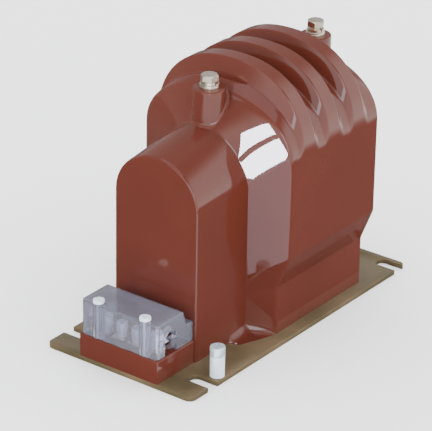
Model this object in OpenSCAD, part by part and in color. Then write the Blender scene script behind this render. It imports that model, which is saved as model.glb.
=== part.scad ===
// Indoor voltage transformer, cast in resin, with two high-voltage terminals
// on top and a low-voltage terminal box under a clear cover.
// Millimetres. The origin is the middle of the base plate's underside.
// X runs across, Y runs along the base to the rear, Z is up.

/* [Base plate] */
// Length of the steel base plate, front to rear
base_length = 302; // [300:1:316]
// Width of the base plate, which is also the width of the barrel
base_width = 148; // [144:1:156]
// Thickness of the base plate
base_thickness = 4; // [3:0.5:6]
// Radius of the plate's corners
base_corner = 6; // [2:1:10]
// Width of the open mounting slots
slot_width = 12; // [9:0.5:14]
// How far a slot reaches in from the long edge
slot_depth = 22.5; // [16:0.5:24]
// Middle of the front pair of slots, behind the plate's front edge
slot_front_inset = 28; // [20:1:32]
// Middle of the rear pair of slots, ahead of the plate's rear edge
slot_rear_inset = 11; // [9:1:16]

/* [Resin body] */
// Half width of the body where it stands on the plate
foot_half = 62.5; // [60:0.5:65]
// Height at which the body starts to widen to the barrel
foot_top = 46; // [42:1:50]
// Height at which the barrel reaches its full width
flare_top = 75; // [70:1:82]
// Height of the skirt that fills the corner between foot and front block
skirt_height = 10; // [4:1:16]
// How far the skirt reaches out from the front block
skirt_reach = 9; // [4:0.5:12]
// Length over which the skirt runs out along the front block
skirt_length = 20; // [14:1:26]
// Height of the line where the barrel's arch springs
spring_z = 157; // [150:1:162]
// Height of the barrel in the grooves between the sheds
groove_top = 213; // [210:0.5:216]
// Height of the sheds
shed_top = 226; // [222:0.5:232]
// Distance from one shed to the next
shed_pitch = 34.5; // [32:0.5:35.5]
// Width of a shed at its crown
shed_width = 15; // [12:0.5:17]
// Draft of each flank of a shed
shed_draft = 5; // [4:0.5:6]
// Middle shed, behind the middle of the base plate
shed_mid_y = 35; // [33:0.5:37]
// Front rim of the barrel, ahead of the middle of the plate
rim_front = 23.5; // [22:0.5:26]
// Length of the barrel from rim to rim
barrel_length = 121; // [119:0.5:124]
// Height of both rims
rim_top = 204; // [200:0.5:206]
// Radius that rounds the edges of the arch ends
edge_round = 3; // [1:0.5:4]

/* [End blocks] */
// Half width of the narrow blocks in front of and behind the barrel
block_half = 41.5; // [40.5:0.5:46]
// Height of the line where their arch springs
block_spring = 134; // [128:1:140]
// Crown of the front block at its front face
block_front_top = 172; // [168:1:176]
// Crown of the blocks where the barrel's flare starts
block_back_top = 184; // [180:1:188]
// Length of the front block's flare, up to the front rim
flare_length = 13.5; // [12:0.5:16]
// How far the front flare's edge leans forward, from its wall to its crown
flare_lean = 10; // [0:0.5:13]
// Length of the rear flare, behind the rear rim
rear_flare_length = 11; // [9:0.5:14]
// How far the rear block stands behind the rear rim
rear_block_length = 25.5; // [24:0.5:28]

/* [Terminal block] */
// Height of the low-voltage block's top
lv_block_top = 24; // [22:0.5:27]
// Half width of the low-voltage block
lv_block_half = 39.7; // [39.2:0.1:42]
// Depth of the low-voltage block, up to the front block's face
lv_block_depth = 47.3; // [46:0.1:52]
// Gap from its front face to the plate's front edge
lv_block_inset = 0.5; // [0.2:0.1:3]

/* [Primary terminals] */
// Diameter of the two resin posts
post_dia = 27; // [24:0.5:29]
// Height of the posts' tops
post_top = 210.5; // [208:0.5:212]
// Distance from a post's middle to its rim
post_offset = 12; // [10.5:0.5:13.5]
// Width of the flat that is cut behind each post
spot_width = 40; // [34:1:44]
// Width across the flats of the hexagonal brass inserts
insert_flats = 17; // [14:0.5:19]
// Length of the brass inserts
insert_length = 34; // [32:0.5:38]
// Length of the inserts' round collar below the post's top
insert_collar = 5; // [3:0.5:8]
// Diameter of the inserts' round collar
insert_collar_dia = 13; // [11.5:0.5:14.5]
// Thread size of the terminal bolts
primary_thread = 8; // [6:1:10]
// Width across the flats of the bolt heads
primary_head_flats = 13; // [12.5:0.5:17]
// Height of the bolt heads
primary_head_height = 5.3; // [4.5:0.1:6.4]
// Length of the bolts' shanks
primary_shank = 24; // [16:1:28]
// Thickness of one flat washer
flat_washer = 1.6; // [1:0.1:2.4]
// Outside diameter of the flat washers
flat_washer_dia = 16; // [15:0.5:20]
// Thickness of the spring washers
spring_washer = 2.2; // [1.6:0.1:2.8]
// How far the rear bolt is screwed out
rear_bolt_raise = 1.7; // [0.5:0.1:4]

/* [Core] */
// Middle of the core, behind the middle of the plate
core_y = 36; // [35:0.5:37]
// Resin under the core
core_floor = 8; // [6:0.5:12]
// Thickness of the limbs of the wound strip core
core_limb = 26; // [22:0.5:27]
// Width of the core's strip
core_stack = 34; // [28:0.5:34.5]
// Length of the core's window
window_length = 108; // [100:1:110]
// Height of the core's window
window_height = 76; // [70:0.5:80]
// Outer corner radius of the core
core_corner = 14; // [8:1:18]
// Thickness of the steel strap round the core
band_thickness = 0.8; // [0.5:0.1:1.2]
// Width of the strap
band_width = 18; // [12:1:22]

/* [Windings] */
// Inner radius of the winding former
former_inner = 22; // [21.8:0.1:22.6]
// Wall of the winding former
former_wall = 2; // [1:0.1:2.2]
// Length between the former's cheeks
former_length = 74; // [68:1:78]
// Thickness of the cheeks
cheek_thickness = 2; // [1.5:0.1:3]
// Build of the low-voltage winding
lv_build = 5.4; // [4:0.1:6]
// Resin wall between the low-voltage and the high-voltage winding
hv_barrier = 4; // [3:0.5:6]
// Outer radius of the high-voltage winding
hv_radius = 56; // [53:0.5:58]
// Length that the high-voltage winding loses over its build
hv_taper = 18; // [12:1:22]

/* [Secondary terminals] */
// Distance between neighbouring terminals
lv_pitch = 17; // [16.5:0.1:17.5]
// Row of terminals, behind the front face of their block
lv_row_inset = 17.5; // [17:0.1:18.5]
// Diameter of the cast-in brass inserts
lv_insert_dia = 9; // [8:0.1:10]
// Length of the brass inserts
lv_insert_length = 14.8; // [12:0.1:14.9]
// Thread size of the terminal screws
lv_thread = 5; // [4:0.5:5.5]
// Side of the square wire clamps
clamp_size = 13.6; // [12:0.1:14]
// Thickness of the wire clamps
clamp_thickness = 2; // [1.5:0.1:3]
// Diameter of the washers on the clamps
lv_washer_dia = 9; // [8.5:0.1:11]
// Thickness of one of the three washers
lv_washer = 1.3; // [1:0.1:1.6]
// Length of the terminal screws below their heads
lv_screw_length = 13; // [10:0.5:16]
// Diameter of the screw heads
lv_head_dia = 10.6; // [9.5:0.1:12]
// Height of the screw heads
lv_head_height = 7.8; // [5:0.1:9]

/* [Terminal cover] */
// Half width of the clear cover
cover_half = 38.8; // [38:0.1:39.1]
// Wall of the cover
cover_wall = 2; // [1.6:0.1:2.5]
// Height of the cover above its block
cover_height = 30.5; // [29:0.5:36]
// Height of the low rear part above the block
cover_rear_height = 17.5; // [14:0.5:20]
// Depth of the high front part, front to rear
cover_deep = 33.5; // [32:0.5:35]
// Length of the slope down to the low rear part
cover_slope = 4; // [2:0.5:5]
// Gap from the cover's front to the block's front
cover_inset = 1; // [0.5:0.1:2]
// Radius of the cover's front corners
cover_corner = 4; // [3:0.5:6]
// Width of the arched cable entries
entry_width = 15.5; // [12:0.5:16]
// Height of a cable entry's crown above the block
entry_height = 20; // [16:0.5:22]
// Middle of the cable entries, behind the cover's front
entry_inset = 17.75; // [17:0.25:18.5]
// Depth of the collar inside each cable entry
entry_collar = 3.5; // [2.5:0.1:4]
// Diameter of the screw pillars
pillar_dia = 9.4; // [8:0.1:10]
// Distance between the two cover screws
pillar_pitch = 47; // [44:0.5:50]
// Middle of the pillars, behind the cover's front
pillar_inset = 4; // [3.6:0.1:4.5]
// Diameter of the inserts for the cover screws
cover_insert_dia = 7; // [6:0.5:7.5]
// Length of these inserts
cover_insert_length = 12; // [9:0.5:15]
// Thread size of the cover screws
cover_thread = 4; // [3:0.5:4]
// Diameter of their heads
cover_head_dia = 9.4; // [8:0.1:10]
// Height of their heads
cover_head_height = 3; // [2:0.1:4]

/* [Earth terminal] */
// Distance of the earth terminal's axis from the plate's long edge
earth_side_inset = 6.8; // [6.5:0.1:8]
// Its place behind the plate's front edge
earth_inset = 42.5; // [41:0.5:46]
// Diameter of the pillar
earth_dia = 12; // [10:0.5:12.5]
// Height of the pillar above the plate
earth_height = 18.5; // [12:0.5:24]
// Thickness of the washer on the pillar
earth_washer_thickness = 1; // [0.8:0.1:2]
// Diameter of the washer and the screw head
earth_head_dia = 12.4; // [11:0.1:12.6]
// Height of the screw head
earth_head_height = 7; // [4:0.1:8]
// Length of the earth screw below its head
earth_screw_length = 10; // [8:0.5:14]
// Thread size of the earth screw
earth_thread = 6; // [5:0.5:6]

/* [Base fixings] */
// Distance of the base screws from the middle line
fixing_x = 48; // [46:0.5:50]
// Distance between the front and the rear base screws
fixing_pitch = 85; // [80:1:88]
// Thread size of the base screws
fixing_thread = 6; // [5:0.5:6]
// Diameter of their cast-in inserts
fixing_insert_dia = 11; // [9:0.5:12]
// Length of their inserts
fixing_insert_length = 16; // [13:0.5:20]

/* [Fits] */
// Clearance round a piece that is cast into the resin
pot_gap = 0.1; // [0.05:0.01:0.15]
// Clearance between faces that are clamped on each other
seat_gap = 0.02; // [0.01:0.01:0.05]
// Radial clearance of a screw in its thread
thread_gap = 0.05; // [0.03:0.01:0.1]
// Radial clearance of a screw through a plain hole
hole_gap = 0.3; // [0.2:0.05:0.4]

/* [Hidden] */
arch_steps = 28;
plate_top = base_thickness;
base_front = -base_length / 2;
base_back = base_length / 2;
slot_front_y = base_front + slot_front_inset;
slot_rear_y = base_back - slot_rear_inset;
barrel_half = base_width / 2;
rim_front_y = -rim_front;
rim_rear_y = rim_front_y + barrel_length;
crease_top = groove_top - 1.5;
flare_y = rim_front_y - flare_length;
rear_flare_y = rim_rear_y + rear_flare_length;
rear_block_y = rim_rear_y + rear_block_length;
lv_front_y = base_front + lv_block_inset;
block_front_y = lv_front_y + lv_block_depth;
front_post_y = rim_front_y - post_offset;
rear_post_y = rim_rear_y + post_offset;
first_shed_y = shed_mid_y - shed_pitch;
last_shed_y = shed_mid_y + shed_pitch;
spot_front_y = first_shed_y - shed_width / 2 - shed_draft + 0.5;
spot_rear_y = last_shed_y + shed_width / 2 + shed_draft - 0.5;
insert_bottom = post_top - insert_length;
winding_z = plate_top + core_floor + core_limb + window_height
  + core_limb / 2;
lead_z = winding_z + hv_radius - 2;
core_bottom = plate_top + core_floor;
core_top = core_bottom + 2 * core_limb + window_height;
core_half_length = window_length / 2 + core_limb;
core_front_y = core_y - core_half_length;
former_outer = former_inner + former_wall;
lv_inner = former_outer + 0.3;
lv_outer = lv_inner + lv_build;
hv_inner = lv_outer + hv_barrier + 0.3;
cheek_radius = lv_outer + 0.3;
winding_front_y = core_y - former_length / 2;
winding_rear_y = core_y + former_length / 2;
hv_length = former_length - 2;
lv_row_y = lv_front_y + lv_row_inset;
clamp_top = lv_block_top + seat_gap + clamp_thickness;
lv_head_seat = clamp_top + 3 * (lv_washer + seat_gap) + seat_gap;
cover_front_y = lv_front_y + cover_inset;
cover_top = lv_block_top + cover_height;
cover_step = lv_block_top + cover_rear_height;
cover_high_y = cover_front_y + cover_deep;
cover_rear_y = block_front_y - 0.5;
entry_y = cover_front_y + entry_inset;
entry_radius = entry_width / 2;
entry_spring = lv_block_top + entry_height - entry_radius;
pillar_y = cover_front_y + pillar_inset;
pillar_x = pillar_pitch / 2;
earth_x = barrel_half - earth_side_inset;
earth_y = base_front + earth_inset;
earth_washer_z = plate_top + earth_height + seat_gap;
earth_head_z = earth_washer_z + earth_washer_thickness + seat_gap;
fixing_ys = [core_y + 1.5 - fixing_pitch / 2, core_y + 1.5 + fixing_pitch / 2];
head_seat = post_top + 2 * (flat_washer + seat_gap) + spring_washer
  + 2 * seat_gap;
lead_half = 1;
lead_x = (lv_inner + lv_outer) / 2 - 0.5;
lead_down_y = core_front_y - 16;
lead_run_z = lv_block_top - lv_insert_length - pot_gap - 1;
resin_red = [0.42, 0.16, 0.12];
plate_olive = [0.50, 0.45, 0.36];
plated = [0.78, 0.78, 0.76];
brass_gold = [0.76, 0.60, 0.30];
core_steel = [0.45, 0.46, 0.48];
copper = [0.72, 0.42, 0.26];
$fn = 48;

// A rod along Z
module rod(r, z0, z1) {
  translate([0, 0, z0]) cylinder(r = r, h = z1 - z0);
}

// A rod along Y
module rod_y(r, y0, y1) {
  translate([0, y0, 0]) rotate([-90, 0, 0]) cylinder(r = r, h = y1 - y0);
}

// A flat ring along Z
module ring(r_out, r_in, z0, z1) {
  difference() {
    rod(r_out, z0, z1);
    rod(r_in, z0 - 1, z1 + 1);
  }
}

// A hexagonal bar along Z, by its width across the flats
module hex_bar(flats, z0, z1) {
  translate([0, 0, z0])
    rotate(30) cylinder(r = flats / sqrt(3), h = z1 - z0, $fn = 6);
}

// A box between two corners
module block(a, b) {
  translate(a) cube(b - a);
}

// A plate outline with round corners
module rounded_rect(x0, x1, y0, y1, r) {
  translate([x0 + r, y0]) square([x1 - x0 - 2 * r, y1 - y0]);
  translate([x0, y0 + r]) square([x1 - x0, y1 - y0 - 2 * r]);
  for (x = [x0 + r, x1 - r], y = [y0 + r, y1 - r])
    translate([x, y]) circle(r = r);
}

// The steel plate that the body is screwed to
module base_plate() {
  color(plate_olive)
  difference() {
    linear_extrude(height = plate_top)
      rounded_rect(-barrel_half, barrel_half, base_front, base_back,
                   base_corner);
    for (side = [-1, 1], y = [slot_front_y, slot_rear_y])
      slot_cut(side, y);
    translate([earth_x, earth_y, 0]) rod(earth_thread / 2 + 1.2, -1, 9);
    for (x = [-fixing_x, fixing_x], y = fixing_ys)
      translate([x, y, 0]) {
        rod(fixing_thread / 2 + hole_gap, -1, plate_top + 1);
        translate([0, 0, -0.01])
          cylinder(r1 = fixing_thread + 0.4, r2 = fixing_thread / 2 + 0.2,
                   h = fixing_thread / 2 + 0.4);
      }
  }
}

// One mounting slot, open at the long edge
module slot_cut(side, y) {
  end_x = barrel_half - slot_depth + slot_width / 2;
  translate([side * end_x, y, 0]) rod(slot_width / 2, -1, plate_top + 1);
  translate([side > 0 ? end_x : -barrel_half - 1, y - slot_width / 2, -1])
    cube([barrel_half + 1 - end_x, slot_width, plate_top + 2]);
}

// Cross-section of the cast body as a ring of points at one place along Y.
// The arch is a superellipse, so that a shed can rise from the barrel at the
// crown and run out to nothing at the spring line.
function section(y, foot, low, low_z, half, under, spring, top, n,
                 lean = 0) =
  concat(
    [for (p = skirt_side(foot, low)) [p[0], y, p[1]]],
    [[low, y, low_z], [half, y, under]],
    [for (i = [0 : arch_steps])
      let (t = 180 * i / arch_steps)
      [half * sign(cos(t)) * pow(abs(cos(t)), 2 / n), y - lean * sin(t),
       spring + (top - spring) * pow(abs(sin(t)), 2 / n)]],
    [[-half, y, under], [-low, y, low_z]],
    [for (i = [3 : -1 : 0])
      let (p = skirt_side(foot, low)[i]) [-p[0], y, p[1]]]);

// Hollow of the skirt, from the plate up to the wall
function skirt_side(foot, low) =
  [for (p = [[1, 0], [0.5, 0.18], [0.16, 0.45], [0, 1]])
    [low + (foot - low) * p[0], plate_top + skirt_height * p[1]]];

function block_section(y, foot, top, half = block_half, lean = 0) =
  section(y, foot, min(foot, half), foot_top - 3, half, foot_top + 9,
          block_spring, top, 2, lean);

function barrel_section(y, top, n) =
  section(y, foot_half, foot_half, foot_top, barrel_half, flare_top,
          spring_z, top, n);

// Height and shape of the barrel's arch, from the groove (0) to the shed (1)
function shed_section(y, f) =
  barrel_section(y, groove_top + (shed_top - groove_top) * f,
                 1.93 + 0.32 * f);

// Round-cornered outline of one shed, as distance from its flank and height
shed_outline = [[-shed_width / 2 - shed_draft - 0.6, 0],
                [-shed_width / 2 - shed_draft + 0.8, 0.11],
                [-shed_width / 2 - shed_draft * 0.22, 0.84],
                [-shed_width / 2 + 0.2, 0.96],
                [-shed_width / 2 + 1.4, 1],
                [shed_width / 2 - 1.4, 1],
                [shed_width / 2 - 0.2, 0.96],
                [shed_width / 2 + shed_draft * 0.22, 0.84],
                [shed_width / 2 + shed_draft - 0.8, 0.11],
                [shed_width / 2 + shed_draft + 0.6, 0]];

// Rounding of a block's end face, as distance from the face and inset
end_round = [for (p = [[0, 0.75], [0.2, 0.4], [0.6, 0.083], [1, 0]])
  edge_round * p];

function ridge(y) = block_front_top + (block_back_top - block_front_top)
  * (y - block_front_y) / (flare_y - block_front_y);

body_sections = concat(
  [for (e = end_round)
    block_section(block_front_y + e[0], block_half - e[1],
                  ridge(block_front_y + e[0]) - e[1], block_half - e[1])],
  [block_section(flare_y - skirt_length - 4, block_half,
                 ridge(flare_y - skirt_length - 4)),
   block_section(flare_y - skirt_length, block_half + skirt_reach,
                 ridge(flare_y - skirt_length)),
   block_section(flare_y, foot_half - 3.9, ridge(flare_y - flare_lean),
                 lean = flare_lean),
   barrel_section(rim_front_y, rim_top, 2.15),
   barrel_section(rim_front_y + 1, rim_top + 1.3, 2.12),
   barrel_section(first_shed_y - shed_width / 2 - shed_draft - 3.5,
                  crease_top, 1.95)],
  [for (i = [-1 : 1], p = shed_outline)
    shed_section(shed_mid_y + i * shed_pitch + p[0], p[1])],
  [barrel_section(rim_rear_y - 8.5, crease_top, 1.95),
   barrel_section(rim_rear_y - 1, rim_top + 1.3, 2.12),
   barrel_section(rim_rear_y, rim_top, 2.15),
   block_section(rear_flare_y, block_half + skirt_reach, block_back_top)],
  [for (i = [len(end_round) - 1 : -1 : 0])
    let (e = end_round[i])
    block_section(rear_block_y - e[0], block_half - e[1],
                  block_back_top - 2 - e[1], block_half - e[1])]);

// The loft through all sections
module body_loft() {
  count = len(body_sections);
  size = len(body_sections[0]);
  points = [for (ring = body_sections, p = ring) p];
  walls = [for (s = [0 : count - 2], i = [0 : size - 1])
    let (a = s * size + i, b = s * size + (i + 1) % size)
    each [[a, b, a + size], [b, b + size, a + size]]];
  half = (size - 1) / 2;
  front = [for (i = [0 : half - 1])
    let (j = size - 1 - i)
    each i == half - 1 ? [[i, j, half]] : [[i, j, i + 1], [i + 1, j, j - 1]]];
  rear = [for (f = front)
    let (k = (count - 1) * size)
    [k + f[0], k + f[2], k + f[1]]];
  polyhedron(points = points, faces = concat(front, walls, rear));
}

// A resin post with a rounded shoulder
module post(y) {
  r = post_dia / 2;
  translate([0, y, 0]) {
    rod(r, spring_z, post_top - 1.2);
    rod(r - 1.2, spring_z, post_top);
    translate([0, 0, post_top - 1.2])
      rotate_extrude()
        translate([r - 1.2, 0]) intersection() {
          circle(r = 1.2);
          square(1.2);
        }
  }
}

// The resin casting, with room for all that is cast into it
module resin_body() {
  color(resin_red)
  difference() {
    union() {
      difference() {
        body_loft();
        spot_cut(spot_front_y, rim_front_y - 30);
        spot_cut(rear_block_y + 2, spot_rear_y);
      }
      post(front_post_y);
      post(rear_post_y);
      block([-lv_block_half, lv_front_y, plate_top],
            [lv_block_half, block_front_y + edge_round + 1, lv_block_top]);
    }
    core_form(pot_gap);
    band_form(band_thickness + 2 * pot_gap, 0, pot_gap);
    windings_form(pot_gap);
    lead_forms(pot_gap);
    for (y = [front_post_y, rear_post_y])
      translate([0, y, 0]) insert_form(pot_gap);
    for (x = lv_xs())
      translate([x, lv_row_y, 0])
        rod(lv_insert_dia / 2 + pot_gap,
            lv_block_top - lv_insert_length - pot_gap, lv_block_top + 1);
    for (x = [-pillar_x, pillar_x])
      translate([x, pillar_y, 0])
        rod(cover_insert_dia / 2 + pot_gap,
            lv_block_top - cover_insert_length - pot_gap, lv_block_top + 1);
    for (x = [-fixing_x, fixing_x], y = fixing_ys)
      translate([x, y, 0])
        rod(fixing_insert_dia / 2 + pot_gap, plate_top - 1,
            plate_top + fixing_insert_length + pot_gap);
  }
}

// Flat behind a post, up to the foot of the first or the last shed
module spot_cut(y1, y0) {
  block([-spot_width / 2, y0, post_top - 0.3],
        [spot_width / 2, y1, shed_top + 5]);
}

// Outline of the wound strip core in the YZ plane, grown by g
module core_outline(g) {
  difference() {
    core_round(g);
    translate([core_y - window_length / 2 + g, core_bottom + core_limb + g])
      square([window_length - 2 * g, window_height - 2 * g]);
  }
}

// Lays a YZ outline out as a solid of a given half width
module yz_solid(half) {
  multmatrix([[0, 0, 1, -half], [1, 0, 0, 0], [0, 1, 0, 0], [0, 0, 0, 1]])
    linear_extrude(height = 2 * half) children();
}

module core_form(g) {
  yz_solid(core_stack / 2 + g) core_outline(g);
}

// One C-shaped half of the wound core
module core_half(side) {
  color(core_steel)
  intersection() {
    core_form(0);
    block([-core_stack, side > 0 ? core_y + seat_gap : core_front_y - 5, 0],
          [core_stack, side > 0 ? core_y + core_half_length + 5
                                : core_y - seat_gap, core_top + 5]);
  }
}

module core_front_half() { core_half(-1); }

module core_rear_half() { core_half(1); }

// The core's outer outline, grown by t
module core_round(t) {
  rounded_rect(core_y - core_half_length - t, core_y + core_half_length + t,
               core_bottom - t, core_top + t, core_corner + t);
}

// The strap lies round the core's outer faces
module band_form(outer, inner, g) {
  yz_solid(band_width / 2 + g) difference() {
    core_round(outer);
    core_round(inner);
  }
}

// Steel strap that draws the two halves of the core together
module core_band() {
  color(plated) band_form(pot_gap + band_thickness, pot_gap, 0);
}

// Tube with cheeks that slides over the core's upper limb
module winding_former() {
  color([0.85, 0.80, 0.62])
  translate([0, 0, winding_z])
  difference() {
    union() {
      rod_y(former_outer, winding_front_y - cheek_thickness,
            winding_rear_y + cheek_thickness);
      rod_y(cheek_radius, winding_front_y - cheek_thickness,
            winding_front_y);
      rod_y(cheek_radius, winding_rear_y,
            winding_rear_y + cheek_thickness);
    }
    rod_y(former_inner, winding_front_y - 9, winding_rear_y + 9);
    for (side = [-1, 1])
      translate([side * (lead_x + 4), winding_front_y - 4.99, 0])
        cube([11.2, 10, 12], center = true);
  }
}

// Low-voltage winding on the former
module secondary_winding() {
  color(copper)
  translate([0, 0, winding_z])
  difference() {
    rod_y(lv_outer, winding_front_y + 0.3, winding_rear_y - 0.3);
    rod_y(lv_inner, winding_front_y - 1, winding_rear_y + 1);
  }
}

// Outline of the high-voltage winding: each layer is shorter than the last
module hv_outline(g) {
  build = hv_radius - hv_inner;
  layers = 6;
  for (i = [0 : layers - 1])
    let (reach = (hv_length - hv_taper * i / (layers - 1)) / 2 + g)
      translate([hv_inner - g, -reach])
        square([build * (i + 1) / layers + 2 * g, 2 * reach]);
}

// High-voltage winding, graded at both ends
module primary_winding() {
  color([0.64, 0.36, 0.22])
  translate([0, core_y, winding_z])
    rotate([90, 0, 0])
      rotate_extrude() hv_outline(0);
}

// The room that the windings take in the resin
module windings_form(g) {
  translate([0, 0, winding_z]) {
    rod_y(cheek_radius + g, winding_front_y - cheek_thickness - g,
          winding_rear_y + cheek_thickness + g);
    translate([0, core_y, 0]) rotate([90, 0, 0])
      rotate_extrude() hv_outline(g);
  }
}

// Bare leads from the ends of the high-voltage winding to the inserts
module hv_lead_rods(r, g) {
  reach = hv_length / 2 - hv_taper / 2;
  translate([0, 0, lead_z]) {
    rod_y(r, front_post_y + insert_flats / 2 + pot_gap - g,
          core_y - reach - pot_gap + g);
    rod_y(r, core_y + reach + pot_gap - g,
          rear_post_y - insert_flats / 2 - pot_gap + g);
  }
}

module hv_leads() {
  color(copper) hv_lead_rods(1.5, 0);
}

// Row of the four low-voltage terminals
function lv_xs() = [-1.5 * lv_pitch, -0.5 * lv_pitch, 0.5 * lv_pitch,
                    1.5 * lv_pitch];

// A flat copper lead between two points that differ along one axis
module strip(a, b, w) {
  lo = [min(a[0], b[0]), min(a[1], b[1]), min(a[2], b[2])];
  hi = [max(a[0], b[0]), max(a[1], b[1]), max(a[2], b[2])];
  block([lo[0] - w, lo[1] - w, lo[2] - w], [hi[0] + w, hi[1] + w, hi[2] + w]);
}

// Lead from the low-voltage winding past the core's leg to one terminal
module lv_lead(side, z, down_y, end_x, w) {
  x = side * lead_x;
  strip([x, winding_front_y + 0.1 - lead_half, z], [x, down_y, z], w);
  strip([x, down_y, z], [x, down_y, lead_run_z], w);
  strip([x, down_y, lead_run_z], [side * end_x, down_y, lead_run_z], w);
  strip([side * end_x, down_y, lead_run_z],
        [side * end_x, lv_row_y, lead_run_z], w);
}

module lv_lead_pair(side, w) {
  lv_lead(side, winding_z - 4, lead_down_y, lv_pitch / 2, w);
  lv_lead(side, winding_z + 4, lead_down_y - 6, lead_x, w);
}

module secondary_leads() {
  color(copper)
    for (side = [-1, 1]) lv_lead_pair(side, lead_half);
}

// The room that all the leads take in the resin
module lead_forms(g) {
  hv_lead_rods(1.5 + g, 2 * g);
  for (side = [-1, 1]) lv_lead_pair(side, lead_half + g);
}

// A hexagonal insert with a round collar that reaches the post's top. Two of
// its flats face the leads.
module insert_form(g) {
  rotate(30) hex_bar(insert_flats + 2 * g, insert_bottom - g,
                     post_top - insert_collar + g);
  rod(insert_collar_dia / 2 + g, insert_bottom, post_top + 3 * g);
}

// Brass inserts in the posts
module primary_inserts() {
  color(brass_gold)
    for (y = [front_post_y, rear_post_y])
      translate([0, y, 0]) difference() {
        insert_form(0);
        rod(primary_thread / 2, insert_bottom + 6, post_top + 1);
      }
}

module primary_bolts() {
  color(plated) {
    translate([0, front_post_y, 0]) primary_bolt(20);
    translate([0, rear_post_y, rear_bolt_raise]) primary_bolt(0);
  }
}

module primary_bolt(turn) {
  rod(primary_thread / 2 - thread_gap, head_seat - primary_shank,
      head_seat + 1);
  intersection() {
    rotate(turn) hex_bar(primary_head_flats, head_seat,
                         head_seat + primary_head_height);
    translate([0, 0, head_seat])
      cylinder(r1 = primary_head_flats, h = primary_head_height,
               r2 = primary_head_flats / 2 + 0.4);
  }
}

module primary_flat_washers() {
  color(plated)
    for (y = [front_post_y, rear_post_y], i = [0, 1])
      translate([0, y, post_top + seat_gap + i * (flat_washer + seat_gap)])
        ring(flat_washer_dia / 2, primary_thread / 2 + 0.2, 0, flat_washer);
}

// Split spring washers under the heads
module primary_spring_washers() {
  z = post_top + 2 * (flat_washer + seat_gap) + seat_gap;
  color(plated)
    for (y = [front_post_y, rear_post_y])
      translate([0, y, z]) difference() {
        ring(primary_thread / 2 + 3.1, primary_thread / 2 + 0.15, 0,
             spring_washer);
        rotate(200) block([2, -0.6, -1], [9, 0.6, 9]);
      }
}

// Brass inserts of the low-voltage terminals
module secondary_inserts() {
  color(brass_gold)
    for (x = lv_xs())
      translate([x, lv_row_y, 0]) difference() {
        rod(lv_insert_dia / 2, lv_block_top - lv_insert_length, lv_block_top);
        rod(lv_thread / 2, lv_block_top - lv_insert_length + 2,
            lv_block_top + 1);
      }
}

// Square wire clamps with a raised lip at front and rear
module terminal_clamps() {
  color(plated)
    for (x = lv_xs())
      translate([x, lv_row_y, lv_block_top + seat_gap]) difference() {
        block([-clamp_size / 2, -clamp_size / 2, 0],
              [clamp_size / 2, clamp_size / 2, clamp_thickness]);
        rod(lv_thread / 2 + hole_gap, -1, 9);
        for (side = [-1, 1])
          translate([side * 4.6, 0, -0.9]) rotate([90, 0, 0])
            translate([0, 0, -9]) cylinder(r = 1.4, h = 18);
      }
}

module terminal_washers() {
  color(plated)
    for (x = lv_xs(), i = [0 : 2])
      translate([x, lv_row_y, clamp_top + seat_gap
                 + i * (lv_washer + seat_gap)])
        ring(lv_washer_dia / 2, lv_thread / 2 + hole_gap, 0, lv_washer);
}

// Cheese-head screws with a cross slot
module terminal_screws() {
  color(plated)
    for (x = lv_xs())
      translate([x, lv_row_y, 0]) difference() {
        union() {
          rod(lv_thread / 2 - thread_gap, lv_head_seat - lv_screw_length,
              lv_head_seat + 1);
          head(lv_head_dia / 2, lv_head_seat, lv_head_height, 0.6);
        }
        translate([0, 0, lv_head_seat + lv_head_height])
          rotate(x * 7) cross_slot(lv_head_dia * 0.42, 1.3, 2.4);
      }
}

// A round head with a small chamfer on its top edge
module head(r, z, h, c) {
  rod(r, z, z + h - c);
  translate([0, 0, z + h - c]) cylinder(r1 = r, r2 = r - c, h = c);
}

module cross_slot(reach, width, depth) {
  block([-reach, -width / 2, -depth], [reach, width / 2, 1]);
  block([-width / 2, -reach, -depth], [width / 2, reach, 1]);
}

// Side outline of the cover, shrunk by g, in the YZ plane
module cover_profile(g) {
  drop = g > 0 ? 1 : 0;
  polygon([[cover_front_y + g, lv_block_top - drop],
           [cover_rear_y - g, lv_block_top - drop],
           [cover_rear_y - g, cover_step - g],
           [cover_high_y + cover_slope - g * 0.6, cover_step - g],
           [cover_high_y - g * 0.6, cover_top - g],
           [cover_front_y + g, cover_top - g]]);
}

// A solid of the cover's outer or inner form
module cover_form(g) {
  r = cover_corner - g;
  intersection() {
    yz_solid(cover_half - g) cover_profile(g);
    translate([0, 0, lv_block_top - 2])
      linear_extrude(height = cover_height + 4)
        rounded_rect(-cover_half + g, cover_half - g, cover_front_y + g,
                     cover_rear_y + 20, r);
  }
}

// Clear cover over the low-voltage terminals
module terminal_cover() {
  color([0.82, 0.80, 0.84, 0.4])
  difference() {
    union() {
      difference() {
        cover_form(0);
        cover_form(cover_wall);
      }
      intersection() {
        cover_form(0);
        for (x = [-pillar_x, pillar_x])
          translate([x, pillar_y, 0])
            rod(pillar_dia / 2, lv_block_top, cover_top);
      }
      for (side = [-1, 1])
        entry_arch(side, cover_half - cover_wall - entry_collar,
                   cover_half - 0.5, entry_radius + 1.5);
    }
    for (side = [-1, 1])
      entry_arch(side, cover_half - cover_wall - entry_collar - 1,
                 cover_half + 1, entry_radius);
    block([-cover_half - 1, cover_front_y - 1, lv_block_top - 3],
          [cover_half + 1, cover_rear_y + 1, lv_block_top + seat_gap]);
    for (x = [-pillar_x, pillar_x])
      translate([x, pillar_y, 0])
        rod(cover_thread / 2 + hole_gap, lv_block_top - 1, cover_top + 1);
  }
}

// Arched form of a cable entry through one side wall
module entry_arch(side, x0, x1, r) {
  a = side > 0 ? x0 : -x1;
  block([a, entry_y - r, lv_block_top - 1],
        [a + x1 - x0, entry_y + r, entry_spring]);
  translate([a, entry_y, entry_spring])
    rotate([0, 90, 0]) cylinder(r = r, h = x1 - x0);
}

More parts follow.
